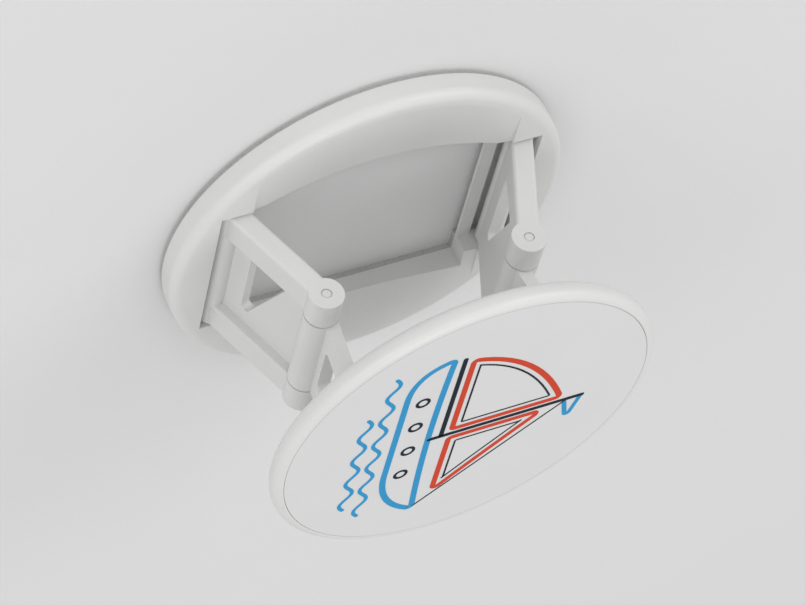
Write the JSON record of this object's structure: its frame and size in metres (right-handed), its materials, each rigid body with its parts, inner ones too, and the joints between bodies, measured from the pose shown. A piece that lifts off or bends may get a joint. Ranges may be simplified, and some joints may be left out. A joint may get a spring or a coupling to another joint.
{
  "type": "phone grip",
  "caption": "Folding stick-on phone grip: round adhesive base, hinged knee legs on both sides and a round finger plate with a printed face that folds straight down onto the base.",
  "frame": {"origin": "centre of the adhesive face", "axes": "+Z away from the surface that the grip is stuck on; hinge axes along Y; -Y is the side on which the base's window is arched"},
  "size_m": [0.041, 0.041, 0.0258],
  "materials": {
    "white_plastic": "glossy moulded white",
    "printed_face": "smooth white with a printed line design",
    "pin_plastic": "satin white",
    "adhesive_foam": "matt foam tape"
  },
  "bodies": {
    "base": {"base_plate": "white_plastic", "adhesive_pad": "adhesive_foam", "base_pin_left": "pin_plastic", "base_pin_right": "pin_plastic"},
    "lower_leg_left": {"lower_leg_left": "white_plastic", "knee_pin_left": "pin_plastic"},
    "upper_leg_left": {"upper_leg_left": "white_plastic"},
    "top_plate": {"top_plate": "white_plastic", "face_insert": "printed_face", "top_pin_left": "pin_plastic", "top_pin_right": "pin_plastic"},
    "lower_leg_right": {"lower_leg_right": "white_plastic", "knee_pin_right": "pin_plastic"},
    "upper_leg_right": {"upper_leg_right": "white_plastic"}
  },
  "joints": [
    {"name": "fold", "type": "hinge", "parent": "base", "child": "lower_leg_left", "pos_m": [-0.0151, 0, 0.0019], "axis": [0, 1, 0], "range_deg": [0, 58]},
    {"name": "knee_left", "type": "hinge", "parent": "lower_leg_left", "child": "upper_leg_left", "pos_m": [-0.01045, 0, 0.0134], "axis": [0, 1, 0], "range_deg": [-133, 0]},
    {"name": "top_hinge_left", "type": "hinge", "parent": "upper_leg_left", "child": "top_plate", "pos_m": [-0.01135, 0, 0.02192], "axis": [0, 1, 0], "range_deg": [0, 75]},
    {"name": "base_hinge_right", "type": "hinge", "parent": "base", "child": "lower_leg_right", "pos_m": [0.0151, 0, 0.0019], "axis": [0, 1, 0], "range_deg": [-58, 0]},
    {"name": "knee_right", "type": "hinge", "parent": "lower_leg_right", "child": "upper_leg_right", "pos_m": [0.01045, 0, 0.0134], "axis": [0, 1, 0], "range_deg": [0, 133]}
  ],
  "couplings": [
    {"joint": "knee_left", "follows": "fold", "ratio": -2.2931},
    {"joint": "top_hinge_left", "follows": "fold", "ratio": 1.2931},
    {"joint": "base_hinge_right", "follows": "fold", "ratio": -1},
    {"joint": "knee_right", "follows": "fold", "ratio": 2.2931}
  ]
}
